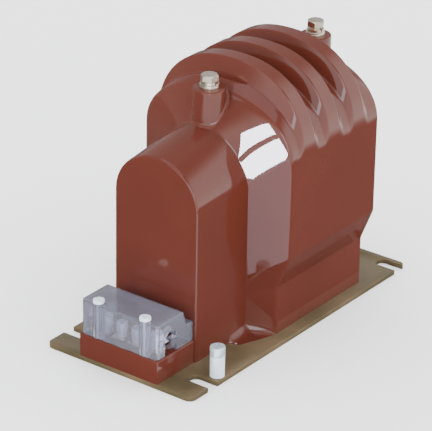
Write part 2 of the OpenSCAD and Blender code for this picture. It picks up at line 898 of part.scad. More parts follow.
// Inserts in the block for the cover screws
module cover_inserts() {
  color(brass_gold)
    for (x = [-pillar_x, pillar_x])
      translate([x, pillar_y, 0]) difference() {
        rod(cover_insert_dia / 2, lv_block_top - cover_insert_length,
            lv_block_top);
        rod(cover_thread / 2, lv_block_top - cover_insert_length + 2,
            lv_block_top + 1);
      }
}

// Slotted screws that hold the cover
module cover_screws() {
  color(plated)
    for (x = [-pillar_x, pillar_x])
      translate([x, pillar_y, 0]) difference() {
        union() {
          rod(cover_thread / 2 - thread_gap,
              lv_block_top - cover_insert_length + 4, cover_top + 1);
          head(cover_head_dia / 2, cover_top + seat_gap, cover_head_height,
               0.6);
        }
        translate([0, 0, cover_top + cover_head_height])
          rotate(x) block([-9, -0.6, -1.2], [9, 0.6, 1]);
      }
}

// Earth pillar with a spigot that is riveted into the plate
module earth_post() {
  color(plated)
    translate([earth_x, earth_y, 0]) difference() {
      union() {
        rod(earth_dia / 2, plate_top + seat_gap, plate_top + earth_height);
        rod(earth_thread / 2 + 1.1, 0.3, plate_top + 1);
      }
      rod(earth_thread / 2, plate_top + 1.5, plate_top + earth_height + 1);
    }
}

module earth_washer() {
  color(plated)
    translate([earth_x, earth_y, earth_washer_z])
      ring(earth_head_dia / 2, earth_thread / 2 + hole_gap, 0,
           earth_washer_thickness);
}

// Screw of the earth terminal, with a cross slot
module earth_screw() {
  color(plated)
    translate([earth_x, earth_y, 0]) difference() {
      union() {
        rod(earth_thread / 2 - thread_gap, earth_head_z - earth_screw_length,
            earth_head_z + 1);
        head(earth_head_dia / 2, earth_head_z, earth_head_height, 0.6);
      }
      translate([0, 0, earth_head_z + earth_head_height])
        rotate(25) cross_slot(earth_head_dia * 0.42, 1.4, 2.2);
    }
}

// Inserts in the body's underside for the base screws
module base_inserts() {
  color(brass_gold)
    for (x = [-fixing_x, fixing_x], y = fixing_ys)
      translate([x, y, 0]) difference() {
        rod(fixing_insert_dia / 2, plate_top + seat_gap,
            plate_top + fixing_insert_length);
        rod(fixing_thread / 2, plate_top - 1,
            plate_top + fixing_insert_length - 2);
      }
}

// Countersunk screws from below
module base_screws() {
  color(plated)
    for (x = [-fixing_x, fixing_x], y = fixing_ys)
      translate([x, y, 0]) difference() {
        union() {
          translate([0, 0, 0.3])
            cylinder(r1 = fixing_thread, r2 = fixing_thread / 2,
                     h = fixing_thread / 2);
          rod(fixing_thread / 2 - thread_gap, 0.5, plate_top
              + fixing_insert_length - 3);
        }
        translate([0, 0, -1])
          cylinder(r = 2.3, h = 3, $fn = 6);
      }
}

base_plate();
resin_body();
core_front_half();
core_rear_half();
core_band();
winding_former();
secondary_winding();
primary_winding();
hv_leads();
primary_inserts();
primary_bolts();
primary_flat_washers();
primary_spring_washers();
secondary_leads();
secondary_inserts();
terminal_clamps();
terminal_washers();
terminal_screws();
terminal_cover();
cover_inserts();
cover_screws();
earth_post();
earth_washer();
earth_screw();
base_inserts();
base_screws();
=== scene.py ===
# %% [markdown]
# # Cast resin voltage transformer
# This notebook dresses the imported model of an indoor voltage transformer.
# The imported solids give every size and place. Here the visible pieces are
# modelled again with rounded edges, and every surface gets its finish.

import math

import bmesh
import bpy
from mathutils import Matrix, Vector


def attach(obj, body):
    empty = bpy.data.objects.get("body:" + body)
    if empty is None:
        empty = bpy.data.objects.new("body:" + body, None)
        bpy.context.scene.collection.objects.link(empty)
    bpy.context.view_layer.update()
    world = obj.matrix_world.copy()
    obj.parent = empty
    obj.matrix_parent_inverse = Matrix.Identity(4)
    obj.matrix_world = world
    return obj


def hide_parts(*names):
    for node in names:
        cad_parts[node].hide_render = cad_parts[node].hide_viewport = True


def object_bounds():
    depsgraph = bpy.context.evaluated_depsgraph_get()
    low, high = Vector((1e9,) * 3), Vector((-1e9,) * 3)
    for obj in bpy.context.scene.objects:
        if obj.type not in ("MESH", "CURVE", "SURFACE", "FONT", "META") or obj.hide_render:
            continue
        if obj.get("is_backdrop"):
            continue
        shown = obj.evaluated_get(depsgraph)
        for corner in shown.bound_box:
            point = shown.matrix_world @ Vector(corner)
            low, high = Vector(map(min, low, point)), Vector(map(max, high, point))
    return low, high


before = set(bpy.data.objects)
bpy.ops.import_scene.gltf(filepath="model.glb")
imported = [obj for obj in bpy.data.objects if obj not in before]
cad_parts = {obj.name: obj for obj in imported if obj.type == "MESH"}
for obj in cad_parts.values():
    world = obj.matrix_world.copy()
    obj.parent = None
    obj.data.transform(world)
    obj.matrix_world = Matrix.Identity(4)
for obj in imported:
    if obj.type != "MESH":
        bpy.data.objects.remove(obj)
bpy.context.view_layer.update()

# %% [markdown]
# ## Camera
# The photograph was taken from the front right, a little above, with a long
# lens. The camera is set from its bearing, height angle and distance, and a
# small roll, because the picture leans by about a degree.

# %% Camera
BEARING, RISE, ROLL = (math.radians(a) for a in (36.7903, 25.7472, 0.9972))
AIM_HEIGHT, AIM_LEFT, AIM_BELOW, DISTANCE = 0.110, 0.014285, 0.023923, 2.21162
FOCAL_PIXELS, PICTURE_WIDTH, SENSOR_WIDTH = 2703.58, 432, 36

back = Vector((math.sin(BEARING) * math.cos(RISE),
               -math.cos(BEARING) * math.cos(RISE), math.sin(RISE)))
right = Vector((math.cos(BEARING), math.sin(BEARING), 0))
up = back.cross(right)
aim = Vector((0, 0, AIM_HEIGHT)) - right * AIM_LEFT - up * AIM_BELOW
camera_place = aim + back * DISTANCE
side_axis = right * math.cos(ROLL) + up * math.sin(ROLL)
up_axis = up * math.cos(ROLL) - right * math.sin(ROLL)

camera = bpy.data.objects.new("camera", bpy.data.cameras.new("camera"))
bpy.context.scene.collection.objects.link(camera)
camera.data.sensor_width = SENSOR_WIDTH
camera.data.lens = FOCAL_PIXELS * SENSOR_WIDTH / PICTURE_WIDTH
camera.data.clip_end = 50
turn = Matrix((side_axis, up_axis, back)).transposed()
camera.matrix_world = Matrix.Translation(camera_place) @ turn.to_4x4()
bpy.context.scene.camera = camera
print("camera at", [round(v, 3) for v in camera_place])

# %% [markdown]
# ## The casting's cross-sections
# The body is one epoxy casting. Its cross-section changes along the base: a
# narrow arched block at the front, a flare out to the barrel, three sheds
# that rise from the barrel's crown and fade out at its sides, and a narrow
# block at the rear. Such a form is a loft: the sections are set at stations
# and the shape in between follows them. The arch of each section is a
# superellipse, so one exponent makes it rounder or squarer. All sizes are in
# millimetres, and MM turns them into Blender's metres.

# %% Sizes of the casting
MM = 0.001
FOOT, BLOCK, BARREL = 62.5, 41.5, 74.0
BLOCK_FRONT, BLOCK_REAR, END_ROUND = -103.2, 123.0, 1.9
BLOCK_STEP, BLOCK_HIP, BLOCK_SPRING, BLOCK_ARCH = 43, 55, 134, 2.0
BARREL_STEP, BARREL_HIP, BARREL_SPRING = 46, 75, 157
RIDGE_START, RIDGE_RISE = 172, 12

# The skirt starts a little ahead of the flare and widens towards it. The
# flare's own edge leans forward at the crown.
SKIRT_FRONT, SKIRT_OUT, FLARE, LEAN = -61, -57, -37.0, 10
SKIRT_HALF, SKIRT_AT_FLARE = 50.5, 58.6

RIM_FRONT, RIM_REAR, RIM_CROWN, RIM_ARCH = -23.5, 97.5, 204, 2.15
SHOULDER_FRONT, SHOULDER_REAR = -15.5, 89
SHOULDER_CROWN, SHOULDER_ARCH = 211.5, 1.95
SHED_PITCH, SHED_MID, SHED_FLAT, SHED_FOOT = 34.5, 35.0, 7.3, 12.8
GROOVE_CROWN, GROOVE_ARCH, SHED_RISE, SHED_SQUARER = 213, 1.93, 13, 0.32
REAR_FLARE, REAR_FLARE_CROWN, REAR_CROWN = 108.5, 184, 181.5
print("casting", 2 * BARREL, "by", BLOCK_REAR - BLOCK_FRONT, "mm")


# %% Stations of the loft
# Each station is: place along the base, half width at the foot, half width
# of the plinth, its height, half width of the walls, height where the walls
# reach it, height where the arch springs, crown height, and exponent of the
# arch. The foot is wider than the plinth where the low skirt runs out.
def ridge(y):
    """Crown height of the front block, which rises to the flare."""
    return (RIDGE_START + RIDGE_RISE * (y - BLOCK_FRONT)
            / (FLARE - BLOCK_FRONT))


def block(y, foot, crown):
    return (y, foot, BLOCK, BLOCK_STEP, BLOCK, BLOCK_HIP, BLOCK_SPRING, crown,
            BLOCK_ARCH)


def barrel(y, crown, power):
    return (y, FOOT, FOOT, BARREL_STEP, BARREL, BARREL_HIP, BARREL_SPRING,
            crown, power)


stations = [block(BLOCK_FRONT, BLOCK, RIDGE_START),
            block(SKIRT_FRONT, BLOCK, ridge(SKIRT_FRONT)),
            block(SKIRT_OUT, SKIRT_HALF, ridge(SKIRT_OUT)),
            block(FLARE, SKIRT_AT_FLARE, ridge(FLARE - LEAN)),
            barrel(RIM_FRONT, RIM_CROWN, RIM_ARCH),
            barrel(SHOULDER_FRONT, SHOULDER_CROWN, SHOULDER_ARCH)]
for shed in (-1, 0, 1):
    middle = SHED_MID + shed * SHED_PITCH
    for away, risen in ((-SHED_FOOT, 0), (-SHED_FLAT, 1), (SHED_FLAT, 1),
                        (SHED_FOOT, 0)):
        stations.append(barrel(middle + away,
                               GROOVE_CROWN + SHED_RISE * risen,
                               GROOVE_ARCH + SHED_SQUARER * risen))
stations += [barrel(SHOULDER_REAR, SHOULDER_CROWN, SHOULDER_ARCH),
             barrel(RIM_REAR, RIM_CROWN, RIM_ARCH),
             block(REAR_FLARE, SKIRT_HALF, REAR_FLARE_CROWN),
             block(BLOCK_REAR, BLOCK, REAR_CROWN)]
print(len(stations), "stations")


# %% Sections between the stations
RIM_REACH, FLARE_REACH, SHED_REACH = 2.0, 0.5, 0.9


def between(y):
    """Section values at y, on straight lines between the stations."""
    y = min(max(y, BLOCK_FRONT), BLOCK_REAR)
    for a, b in zip(stations, stations[1:]):
        if y <= b[0]:
            t = (y - a[0]) / (b[0] - a[0])
            return [u + (v - u) * t for u, v in zip(a[1:], b[1:])]
    return list(stations[-1][1:])


def reach_at(y):
    """How softly an edge is rounded: most at the rims, least at the flare."""
    if abs(y - RIM_FRONT) < 3 or abs(y - RIM_REAR) < 3:
        return RIM_REACH
    return FLARE_REACH if abs(y - FLARE) < 1 else SHED_REACH


def rounded(y):
    """Section values at y, averaged over that reach to round the edges."""
    room = min(reach_at(y), y - BLOCK_FRONT, BLOCK_REAR - y)
    parts = [between(y + room * k / 4) for k in range(-4, 5)]
    weights = (1, 2, 3, 4, 5, 4, 3, 2, 1)
    return [sum(w * p[i] for w, p in zip(weights, parts)) / sum(weights)
            for i in range(len(parts[0]))]


def lean(y):
    """How far the flare's edge leans forward at the crown."""
    return LEAN * max(0.0, min((y - SKIRT_OUT) / (FLARE - SKIRT_OUT),
                               (RIM_FRONT - y) / (RIM_FRONT - FLARE)))


def end_inset(y):
    """How far the outline steps in close to the two end faces."""
    near = min(y - BLOCK_FRONT, BLOCK_REAR - y)
    if near >= END_ROUND:
        return 0.0
    return END_ROUND - math.sqrt(END_ROUND ** 2 - (END_ROUND - near) ** 2)


print("at the rim", [round(v, 1) for v in rounded(RIM_FRONT)])


# %% Corners and firm edges of a section
EDGE_ROUND, EDGE_HOLD = 1.4, 0.4


def corner(a, c, b, reach, count):
    """Points of a rounded corner at c, on the way from a to b."""
    a, c, b = Vector(a), Vector(c), Vector(b)
    start = c + (a - c).normalized() * min(reach, (a - c).length * 0.9)
    end = c + (b - c).normalized() * min(reach, (b - c).length * 0.9)
    points = []
    for i in range(count):
        t = i / (count - 1)
        points.append(start * (1 - t) ** 2 + c * 2 * t * (1 - t)
                      + end * t ** 2)
    return points


def crease(a, c, b):
    """A firm edge, with a point on each side that holds the flats."""
    points = corner(a, c, b, EDGE_ROUND, 6)
    before = points[0] + (Vector(a) - points[0]).normalized() * EDGE_HOLD
    after = points[-1] + (Vector(b) - points[-1]).normalized() * EDGE_HOLD
    return [before] + points + [after]


def line(a, b, count):
    """Inner points of a straight run."""
    a, b = Vector(a), Vector(b)
    return [a.lerp(b, (i + 1) / (count + 1)) for i in range(count)]


print("edges rounded over", EDGE_ROUND, "mm")

# %% Outline of one section
PLATE_TOP, SKIRT_BEND, SKIRT_TOP, SKIRT_SHARE = 4, 5.2, 14, 0.15
WHOLE, ARCH_POINTS = 99, 36


def outline(y):
    """Half outline from the foot to the crown."""
    foot, low, step, half, under, spring, crown, power = rounded(y)
    inset = end_inset(y)
    foot, low, half, crown = (v - inset for v in (foot, low, half, crown))
    skirt = corner((foot, PLATE_TOP),
                   (low + (foot - low) * SKIRT_SHARE, SKIRT_BEND),
                   (low, SKIRT_TOP), WHOLE, 9)
    knee = crease((low, SKIRT_TOP), (low, step), (half, under))
    hip = crease((low, step), (half, under), (half, spring))
    side = [Vector((foot, PLATE_TOP))] + skirt
    side += line(skirt[-1], knee[0], 3) + knee
    side += line(knee[-1], hip[0], 4) + hip
    side += line(hip[-1], (half, spring), 8)
    points = [Vector((x, y, z)) for x, z in side]
    last = ARCH_POINTS - 1
    for i in range(ARCH_POINTS):
        t = math.pi / 2 * i / last
        across = half * math.cos(t) ** (2 / power) if i < last else 0
        height = spring + (crown - spring) * math.sin(t) ** (2 / power)
        points.append(Vector((across, y - lean(y) * math.sin(t), height)))
    return points


print(len(outline(0)), "points on half a section")

# %% [markdown]
# ## The casting
# A circle of points is laid out as the first section, and each next section
# is extruded from the last one and moved to its own outline. The stations
# lie close together, so that the rounding of every edge is in the mesh and
# the gloss runs over it as it does on a real casting. The finished bmesh
# becomes an object, and its normals are made to point outwards. Behind the
# posts the barrel's rim is cut flat, with Blender's exact boolean.

# %% Extrude one ring of points from the last
def ring_edges(bm, ring):
    return [bm.edges.get(pair) for pair in zip(ring, ring[1:] + ring[:1])]


def first_ring(bm, points):
    made = bmesh.ops.create_circle(bm, cap_ends=False, radius=0.05,
                                   segments=len(points))["verts"]
    ring = [made[0], made[0].link_edges[0].other_vert(made[0])]
    while len(ring) < len(points):
        ring += [e.other_vert(ring[-1]) for e in ring[-1].link_edges
                 if e.other_vert(ring[-1]) is not ring[-2]][:1]
    for vert, point in zip(ring, points):
        vert.co = Vector(point) * MM
    return ring


def next_ring(bm, ring, points):
    made = bmesh.ops.extrude_edge_only(bm, edges=ring_edges(bm, ring))
    partner = {}
    for vert in made["geom"]:
        if isinstance(vert, bmesh.types.BMVert):
            for edge in vert.link_edges:
                partner[edge.other_vert(vert)] = vert
    ring = [partner[old] for old in ring]
    for vert, point in zip(ring, points):
        vert.co = Vector(point) * MM
    return ring


def close_ring(bm, ring):
    bmesh.ops.contextual_create(bm, geom=ring_edges(bm, ring))


print("rings of", 2 * len(outline(0)) - 1, "points")


# %% Turn a bmesh into an object
def new_object(name, bm, sharp=35):
    """An object at the origin, crisp where it is sharper than an angle."""
    bmesh.ops.remove_doubles(bm, verts=bm.verts, dist=1e-7)
    bmesh.ops.recalc_face_normals(bm, faces=bm.faces)
    mesh = bpy.data.meshes.new(name)
    bm.to_mesh(mesh)
    bm.free()
    mesh.shade_smooth()
    mesh.set_sharp_from_angle(angle=math.radians(sharp))
    piece = bpy.data.objects.new(name, mesh)
    bpy.context.scene.collection.objects.link(piece)
    return piece


print("objects stand at the origin")

# %% Loft the body
LONGEST_STEP = 3.0


def ring_points(y):
    right_half = outline(y)
    left_half = [Vector((-p.x, p.y, p.z)) for p in reversed(right_half[:-1])]
    return right_half + left_half


def section_places():
    """Close together round each station, further apart on straight runs."""
    steps = (0, .03, .1, .22, .4, .65, 1)
    found = {BLOCK_FRONT + END_ROUND * d for d in steps}
    found |= {BLOCK_REAR - END_ROUND * d for d in steps}
    found |= {BLOCK_FRONT + END_ROUND + 0.3, BLOCK_REAR - END_ROUND - 0.3}
    found |= {round(s[0] + d * reach_at(s[0]), 3) for s in stations[1:-1]
              for d in (-1.15, -1, -0.7, -0.4, -0.1, 0.1, 0.4, 0.7, 1, 1.15)}
    marks = sorted(found)
    filled = list(marks)
    for a, b in zip(marks, marks[1:]):
        extra = int((b - a) / LONGEST_STEP)
        filled += [a + (b - a) * (k + 1) / (extra + 1) for k in range(extra)]
    return sorted(filled)


body = bmesh.new()
places = section_places()
ring = first_ring(body, ring_points(places[0]))
close_ring(body, ring)
for y in places[1:]:
    ring = next_ring(body, ring, ring_points(y))
close_ring(body, ring)
casting = new_object("resin_casting", body, sharp=60)
print("loft of", len(places), "sections")


# %% Boxes, and cuts with them
def add_box(bm, low, high):
    low, high = Vector(low) * MM, Vector(high) * MM
    size = high - low
    made = bmesh.ops.create_cube(bm, size=1.0, matrix=Matrix.Translation(
        (low + high) / 2) @ Matrix.Diagonal((*size, 1)))
    return made["verts"]


def apply_modifiers(piece):
    """Keep the mesh that the modifiers give, and drop the modifiers."""
    view = bpy.context.evaluated_depsgraph_get()
    mesh = bpy.data.meshes.new_from_object(piece.evaluated_get(view))
    old = piece.data
    piece.modifiers.clear()
    piece.data = mesh
    bpy.data.meshes.remove(old)


def combine(piece, other, how, many=False):
    """Join or cut, and say if the other one is many forms that overlap."""
    step = piece.modifiers.new("combine", "BOOLEAN")
    step.operation, step.solver, step.object = how, "EXACT", other
    step.use_self = many
    apply_modifiers(piece)
    bpy.data.objects.remove(other)


print("ready to cut", casting.name)

# %% Cut the flats behind the posts
POST_FRONT, POST_REAR, POST_TOP = -35.5, 109.5, 210.5
FLAT_FRONT, FLAT_REAR, FLAT_HALF, FLAT_Z = -11.8, 81.8, 20, POST_TOP - 0.3
PAST_FRONT, PAST_REAR, PAST_TOP = -60, 130, 240
cutter = bmesh.new()
add_box(cutter, (-FLAT_HALF, PAST_FRONT, FLAT_Z),
        (FLAT_HALF, FLAT_FRONT, PAST_TOP))
add_box(cutter, (-FLAT_HALF, FLAT_REAR, FLAT_Z),
        (FLAT_HALF, PAST_REAR, PAST_TOP))
combine(casting, new_object("flats", cutter), "DIFFERENCE")
casting.data.set_sharp_from_angle(angle=math.radians(50))
print("casting", len(casting.data.polygons), "faces")

# %% [markdown]
# ## Posts and low-voltage block
# Two round posts carry the high-voltage terminals. On the casting they run
# into the body with a small fillet. Each post is a stack of rings, and the
# lowest rings read the body's own height, so that the fillet follows the
# slope under it.

# %% Posts
POST_RADIUS, POST_FILLET, RAY_START = 13.5, 2.6, 0.3
bpy.context.view_layer.update()


def skin_height(x, y):
    """Height of the casting's top, found with a ray from above."""
    place = casting.ray_cast((x * MM, y * MM, RAY_START), (0, 0, -1))[1]
    return place.z / MM


def post_ring(y, radius, height):
    points = []
    for i in range(72):
        a = math.tau * i / 72
        px, py = radius * math.cos(a), y + radius * math.sin(a)
        points.append((px, py, height(px, py)))
    return points


def add_post(bm, y):
    """A post with a rounded top and a fillet at its foot."""
    ring = first_ring(bm, post_ring(y, 5, lambda px, py: POST_TOP))
    close_ring(bm, ring)
    for r, drop in ((11.8, 0), (12.6, 0.1), (13.2, 0.5), (13.5, 1.3)):
        ring = next_ring(bm, ring, post_ring(
            y, r, lambda px, py: POST_TOP - drop))
    for k in range(6):
        t = math.pi / 2 * k / 5
        r = POST_RADIUS + POST_FILLET * (1 - math.cos(t))
        lift = POST_FILLET * (1 - math.sin(t))
        ring = next_ring(bm, ring, post_ring(y, r, lambda px, py: min(
            skin_height(px, py) + lift, POST_TOP - 1.4 - 0.05 * k)))
    ring = next_ring(bm, ring, post_ring(
        y, POST_RADIUS - 1, lambda px, py: skin_height(px, py) - 6))
    close_ring(bm, ring)


posts = bmesh.new()
add_post(posts, POST_FRONT)
add_post(posts, POST_REAR)
print("posts", len(posts.faces), "faces")

# %% Low-voltage block
LV_HALF, LV_FRONT, LV_TOP, LV_IN_BLOCK = 39.7, -150.5, 24, 6
add_box(posts, (-LV_HALF, LV_FRONT, PLATE_TOP),
        (LV_HALF, BLOCK_FRONT + LV_IN_BLOCK, LV_TOP))
near_front, near_top = (LV_FRONT + 0.5) * MM, (LV_TOP - 1) * MM
block_edges = [e for e in posts.edges
               if all(abs(abs(v.co.x) - LV_HALF * MM) < 1e-6
                      or v.co.y < near_front for v in e.verts)
               and e.calc_length() > 0.01
               and max(v.co.z for v in e.verts) > near_top
               and min(v.co.y for v in e.verts) < near_front]
bmesh.ops.bevel(posts, geom=block_edges, offset=1.2 * MM, segments=3,
                affect="EDGES", profile=0.5, material=-1)
added = new_object("posts", posts)
casting_mesh = bmesh.new()
casting_mesh.from_mesh(casting.data)
casting_mesh.from_mesh(added.data)
casting_mesh.to_mesh(casting.data)
casting_mesh.free()
bpy.data.objects.remove(added)
casting.data.shade_smooth()
casting.data.set_sharp_from_angle(angle=math.radians(50))
print("casting with posts", len(casting.data.polygons), "faces")

# %% [markdown]
# ## Surface effects shared by the finishes
# No surface is quite even: a casting has slow smudges in its gloss, and
# plating has a fine grain. One node group gives three patterns in the
# object's own coordinates, slow smudges, a fine grain and a height for the
# bump, so that every finish shares them and sets only its own scale.

# %% Nodes of a shader
def new_group(name, inputs, outputs):
    group = bpy.data.node_groups.new(name, "ShaderNodeTree")
    for label, value in inputs:
        socket = group.interface.new_socket(label, in_out="INPUT",
                                            socket_type="NodeSocketFloat")
        socket.default_value = value
    for label in outputs:
        group.interface.new_socket(label, in_out="OUTPUT",
                                   socket_type="NodeSocketFloat")
    return group


def add_node(tree, kind, **settings):
    made = tree.nodes.new(kind)
    for key, value in settings.items():
        setattr(made, key, value)
    return made


def noise(tree, vector, scale, detail, rough):
    """Noise whose scale comes from another socket."""
    made = add_node(tree, "ShaderNodeTexNoise")
    made.inputs["Detail"].default_value = detail
    made.inputs["Roughness"].default_value = rough
    tree.links.new(vector, made.inputs["Vector"])
    tree.links.new(scale, made.inputs["Scale"])
    return made.outputs["Fac"]


def maths(tree, how, a, b):
    """One sum of two values, each a number or a socket."""
    made = add_node(tree, "ShaderNodeMath", operation=how)
    for socket, value in zip(made.inputs, (a, b)):
        if isinstance(value, (int, float)):
            socket.default_value = value
        else:
            tree.links.new(value, socket)
    return made.outputs[0]


print("nodes can be added")

# %% Shared pattern group
HEIGHT_SMUDGE, HEIGHT_GRAIN = 0.7, 0.3
surface = new_group("surface_patterns", [("Smudge Scale", 12.0),
                                         ("Grain Scale", 300.0)],
                    ["Smudge", "Grain", "Height"])
inside = add_node(surface, "NodeGroupInput")
outside = add_node(surface, "NodeGroupOutput")
where = add_node(surface, "ShaderNodeTexCoord").outputs["Object"]
smudge = noise(surface, where, inside.outputs["Smudge Scale"], 4, 0.55)
grain = noise(surface, where, inside.outputs["Grain Scale"], 2, 0.5)
surface.links.new(smudge, outside.inputs["Smudge"])
surface.links.new(grain, outside.inputs["Grain"])
surface.links.new(maths(surface, "ADD",
                        maths(surface, "MULTIPLY", smudge, HEIGHT_SMUDGE),
                        maths(surface, "MULTIPLY", grain, HEIGHT_GRAIN)),
                  outside.inputs["Height"])
print("group", surface.name)

# %% [markdown]
# ## Finishes
# The casting is glossy brown-red epoxy, the base plate is passivated zinc,
# and the terminals are plated. A finish is one shader whose colour and
# roughness follow the shared patterns between two values. The plate gets one
# thing more: under the barrel it is mirrored in the casting, where the real
# one lies in deep shade, so a mirror ray that comes from further off finds
# it darker. Only the Light Path node can tell such a ray, and it stays in
# the plate's own material.

# %% What a mirror ray finds
def step_between(tree, value, low, high, start, end):
    """A smooth change from one value to another."""
    node = add_node(tree, "ShaderNodeMapRange",
                    interpolation_type="SMOOTHSTEP")
    for label, number in (("From Min", low), ("From Max", high),
                          ("To Min", start), ("To Max", end)):
        node.inputs[label].default_value = number
    tree.links.new(value, node.inputs["Value"])
    return node.outputs["Result"]


def paint_shade_in_mirrors(material, near, far, share):
    """Darken a finish with painted shade where it is mirrored from further off than near.
    """
    tree = material.node_tree
    socket = tree.nodes["Principled BSDF"].inputs["Base Color"]
    colour = socket.links[0].from_socket
    ray = add_node(tree, "ShaderNodeLightPath")
    loss = step_between(tree, ray.outputs["Ray Length"], near, far, 0,
                        1 - share)
    kept = maths(tree, "SUBTRACT", 1.0,
                 maths(tree, "MULTIPLY", ray.outputs["Is Glossy Ray"], loss))
    dimmed = add_node(tree, "ShaderNodeVectorMath", operation="SCALE")
    tree.links.new(colour, dimmed.inputs[0])
    tree.links.new(kept, dimmed.inputs["Scale"])
    tree.links.new(dimmed.outputs["Vector"], socket)


print("helpers for mirror rays ready")

# %% A finish from the group
PATTERN_LOW, PATTERN_HIGH, SMUDGE_PART, GRAIN_PART = 0.3, 0.7, 0.6, 0.4
BUMP_DEPTH = 0.0002


def finish_of(name, dark, light, rough, metal=0.0, smudge=12.0, grain=300.0,
              bump=0.1, **sockets):
    """A shader whose colour and roughness run between two values."""
    material = bpy.data.materials.new(name)
    material.use_nodes = True
    tree = material.node_tree
    shader = tree.nodes["Principled BSDF"]
    pattern = add_node(tree, "ShaderNodeGroup", node_tree=surface)
    pattern.inputs["Smudge Scale"].default_value = smudge
    pattern.inputs["Grain Scale"].default_value = grain
    ramp = add_node(tree, "ShaderNodeValToRGB")
    for element, place, colour in zip(ramp.color_ramp.elements,
                                      (PATTERN_LOW, PATTERN_HIGH),
                                      (dark, light)):
        element.position = place
        element.color = (*colour, 1)
    tree.links.new(pattern.outputs["Smudge"], ramp.inputs["Fac"])
    tree.links.new(ramp.outputs["Color"], shader.inputs["Base Color"])
    spread = add_node(tree, "ShaderNodeMapRange")
    for label, number in (("From Min", PATTERN_LOW),
                          ("From Max", PATTERN_HIGH),
                          ("To Min", rough[0]), ("To Max", rough[1])):
        spread.inputs[label].default_value = number
    mixed = maths(tree, "ADD",
                  maths(tree, "MULTIPLY", pattern.outputs["Smudge"],
                        SMUDGE_PART),
                  maths(tree, "MULTIPLY", pattern.outputs["Grain"],
                        GRAIN_PART))
    tree.links.new(mixed, spread.inputs["Value"])
    tree.links.new(spread.outputs["Result"], shader.inputs["Roughness"])
    relief = add_node(tree, "ShaderNodeBump")
    relief.inputs["Strength"].default_value = bump
    relief.inputs["Distance"].default_value = BUMP_DEPTH
    tree.links.new(pattern.outputs["Height"], relief.inputs["Height"])
    tree.links.new(relief.outputs["Normal"], shader.inputs["Normal"])
    shader.inputs["Metallic"].default_value = metal
    for socket, value in sockets.items():
        shader.inputs[socket.replace("_", " ")].default_value = value
    return material


print("pattern runs from", PATTERN_LOW, "to", PATTERN_HIGH)

# %% Finishes of the pieces
MIRROR_NEAR, MIRROR_FAR, MIRROR_SHARE = 0.030, 0.055, 0.05
resin = finish_of("cast_resin", (0.062, 0.0138, 0.0086),
                  (0.073, 0.0168, 0.0104),
                  (0.05, 0.09), smudge=9, grain=500, bump=0.03)
zinc = finish_of("passivated_zinc", (0.082, 0.067, 0.032),
                 (0.215, 0.150, 0.084), (0.30, 0.42), 0.5, smudge=13,
                 grain=900, bump=0.12)
# Painted shade: the plate's colour is darkened in mirror rays from further off, for the
# shade it lies in under the barrel
paint_shade_in_mirrors(zinc, MIRROR_NEAR, MIRROR_FAR, MIRROR_SHARE)
bright = finish_of("bright_plate", (0.78, 0.69, 0.55), (0.92, 0.83, 0.69),
                   (0.18, 0.30), 1.0, smudge=60, grain=1500, bump=0.08)
satin = finish_of("satin_plate", (0.66, 0.76, 0.83), (0.80, 0.88, 0.94),
                  (0.20, 0.32), 0.3, smudge=60, grain=1500, bump=0.08)
nickel = finish_of("nickel_plate", (0.56, 0.66, 0.72), (0.68, 0.78, 0.84),
                   (0.22, 0.32), 0.6, smudge=60, grain=1500, bump=0.08)
brass = finish_of("turned_brass", (0.58, 0.38, 0.14), (0.72, 0.50, 0.20),
                  (0.22, 0.35), 1.0, smudge=60, grain=1500)
strip = finish_of("core_strip", (0.20, 0.21, 0.23), (0.28, 0.29, 0.31),
                  (0.35, 0.5), 1.0, smudge=30, grain=800)
copper = finish_of("enamelled_copper", (0.42, 0.14, 0.06), (0.55, 0.20, 0.09),
                   (0.25, 0.4), 0.8, smudge=40, grain=900)
board = finish_of("former_board", (0.60, 0.52, 0.33), (0.70, 0.62, 0.42),
                  (0.5, 0.65), smudge=30, grain=900)
clear = finish_of("clear_cover", (0.72, 0.73, 0.89), (0.83, 0.84, 0.97),
                  (0.03, 0.06), smudge=20, grain=700, bump=0.03,
                  Transmission_Weight=0.92, IOR=1.46)
print("finishes", [m.name for m in bpy.data.materials])

# %% Dress the casting
def dress(piece, material, slot, *nodes):
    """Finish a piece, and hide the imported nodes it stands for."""
    piece.data.materials.clear()
    piece.data.materials.append(material)
    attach(piece, "root")
    if nodes:
        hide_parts(*nodes)
    print(piece.name, len(piece.data.polygons), "faces")


dress(casting, resin, "resin", "resin_body")


# %% Dress the potted pieces
def dress_solid(node, material):
    """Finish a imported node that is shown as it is."""
    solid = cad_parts[node]
    solid.data.materials.clear()
    solid.data.materials.append(material)


POTTED = {strip: ["core_front_half", "core_rear_half"],
          bright: ["core_band", "base_screws"],
          board: ["winding_former"],
          copper: ["secondary_winding", "primary_winding", "hv_leads",
                   "secondary_leads"],
          brass: ["primary_inserts", "secondary_inserts", "cover_inserts",
                  "base_inserts"]}
for material, nodes in POTTED.items():
    for node in nodes:
        dress_solid(node, material)
print("potted pieces", sum(len(nodes) for nodes in POTTED.values()))

# %% [markdown]
# ## Base plate
# The plate is 4 mm sheet with rounded corners and four slots that are open
# at the long edges. A box with bevelled corners is cut with a box and a rod
# for each slot, and the cut edges get a small bevel, as punched and
# deburred sheet has.

# %% Base plate
PLATE_HALF, PLATE_END, PLATE_CORNER = 74, 151, 6
plate = bmesh.new()
add_box(plate, (-PLATE_HALF, -PLATE_END, 0),
        (PLATE_HALF, PLATE_END, PLATE_TOP))
uprights = [e for e in plate.edges
            if abs(e.verts[0].co.z - e.verts[1].co.z) > 0.001]
bmesh.ops.bevel(plate, geom=uprights, offset=PLATE_CORNER * MM, segments=8,
                affect="EDGES", profile=0.5, material=-1)
base = new_object("base_sheet", plate)
print("sheet", 2 * PLATE_HALF, "by", 2 * PLATE_END, "mm")

# %% Slots of the plate
SLOT_END, SLOT_HALF, SLOT_YS, PAST_EDGE = 57.5, 6, (-123, 140), 90


